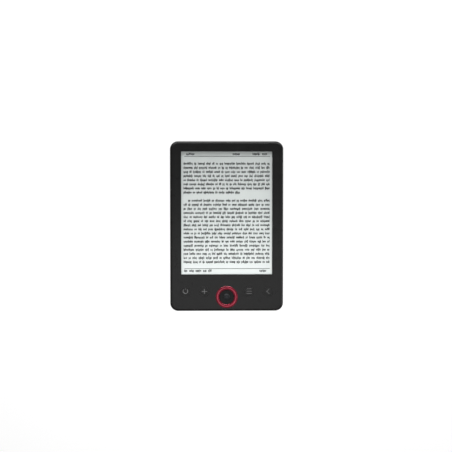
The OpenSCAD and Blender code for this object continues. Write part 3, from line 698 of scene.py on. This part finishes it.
# one mark: its strokes and tick, as shares of its pitch across and of its height up
MARK_PITCH = 1.17 * MM
MARK_HEIGHT = 1.75 * MM
STROKE_STARTS = (0.08, 0.56)
STROKE_WIDTHS = (0.33, 0.5)
STROKE_RISES = (0.82, 1.0, 1.0, 1.0, 1.42)
STROKE_DROPS = (0.0, 0.0, 0.0, 0.12, 0.38)
TICK_ENDS = (0.3, 0.6)
TICK_LEVELS = (0.1, 0.45, 0.8)
TICK_THICKNESS = 0.2

WORD_LENGTHS = (2, 2, 3, 3, 4, 4, 5, 6, 7, 8, 9)


def mark(draw, left, base, size):
    """One abstract sign: two uprights of unequal height and a tick.

    It stands for a letter but isn't one.
    """
    height = MARK_HEIGHT * size
    outlines = []
    for share in STROKE_STARTS:
        width = draw.uniform(*STROKE_WIDTHS) * MARK_PITCH * size
        start = left + share * MARK_PITCH * size
        rise = height * draw.choice(STROKE_RISES)
        drop = height * draw.choice(STROKE_DROPS)
        outlines.append(block(start, start + width, base - drop, base + rise))
    level = base + height * draw.choice(TICK_LEVELS)
    tick_left, tick_right = (left + share * MARK_PITCH * size for share in TICK_ENDS)
    outlines.append(block(tick_left, tick_right, level, level + TICK_THICKNESS * height))
    return outlines


def word_lengths(draw, room):
    """Lengths, in marks, of words that nearly fill a room of so many marks."""
    lengths = []
    used = 0
    while room - used > 2:
        length = min(draw.choice(WORD_LENGTHS), room - used)
        lengths.append(length)
        used += length + 1
    return lengths


def word(draw, left, base, length, size=1.0):
    """So many marks in a row."""
    outlines = []
    for i in range(length):
        outlines += mark(draw, left + i * MARK_PITCH * size, base, size)
    return outlines


def line_of_marks(draw, left, right, base):
    """A line of words of marks, spread from left to right."""
    lengths = word_lengths(draw, int((right - left) / MARK_PITCH))
    spare = (right - left) - sum(lengths) * MARK_PITCH
    gap = spare / max(1, len(lengths) - 1)
    outlines = []
    start = left
    for length in lengths:
        outlines += word(draw, start, base, length)
        start += length * MARK_PITCH + gap
    return outlines


def make_text():
    """The page's lines of marks.

    One paragraph ends in a short line. A blank line follows, then an indented one that starts the
    next paragraph, which runs to the foot.
    """
    draw = random.Random(6)
    outlines = []
    for line in range(LINE_COUNT):
        if line == BLANK_LINE:
            continue
        left = PAGE.left + TEXT_LEFT + (INDENT if line == INDENTED_LINE else 0)
        right = left + SHORT_WIDTH if line == SHORT_LINE else PAGE.right - TEXT_RIGHT
        base = PAGE.top - FIRST_LINE - line * LINE_PITCH - TEXT_FOOT
        outlines += line_of_marks(draw, left, right, base)
    return outlines


def rule_at(drop):
    """Thin line across the page, at this distance down from its top edge."""
    foot = PAGE.top - drop
    return block(PAGE.left + RULE_LEFT, PAGE.right - RULE_RIGHT, foot, foot + RULE_WIDTH)


def battery_gauge(middle):
    """Two walls with cells between them and a cap at the right, around this height."""
    left = PAGE.right - GAUGE_LEFT
    right = PAGE.right - GAUGE_RIGHT
    top = middle + GAUGE_HALF
    bottom = middle - GAUGE_HALF
    outlines = [block(left, right, top - GAUGE_WALL, top),
                block(left, right, bottom, bottom + GAUGE_WALL)]
    for cell in range(GAUGE_CELLS):
        start = left + cell * CELL_PITCH
        outlines.append(block(start, start + CELL_WIDTH, bottom + GAUGE_WALL, top - GAUGE_WALL))
    outlines.append(block(right, right + GAUGE_CAP, middle - GAUGE_CAP, middle + GAUGE_CAP))
    return outlines


def make_header():
    """Marks and a rule at the top of the page, with a battery gauge at the right."""
    draw = random.Random(7)
    middle = PAGE.top - HEADER_LINE
    outlines = []
    for left, length in HEADER_WORDS:
        outlines += word(draw, PAGE.left + left, middle - SMALL_FOOT, length, HEADER_SIZE)
    return outlines + [rule_at(HEADER_RULE)] + battery_gauge(middle)


def make_footer():
    """A rule and marks at the foot of the page."""
    draw = random.Random(8)
    base = PAGE.top - FOOTER_LINE - SMALL_FOOT
    left, right = FOOTER_TEXT
    inset, length = FOOTER_COUNT
    outlines = [rule_at(FOOTER_RULE)]
    outlines += line_of_marks(draw, PAGE.left + left, PAGE.left + right, base)
    outlines += word(draw, PAGE.right - inset, base, length)
    return outlines


def make_page():
    """Lays the ink of the text, the header and the footer on the film."""
    ink = page_ink("page_ink", INK_GREY)
    for name, outlines in (("page_text", make_text()),
                           ("page_header", make_header()),
                           ("page_footer", make_footer())):
        piece = plates(name, outlines, PAGE.z - INK_SUNK, PAGE.z + INK_PROUD)
        piece.data.materials.append(ink)
        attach(piece, "case")


# ---------------------------------------------------------------- the scene

make_camera()
make_floor()
make_lights()
dress_nodes()
make_icons()
make_page()
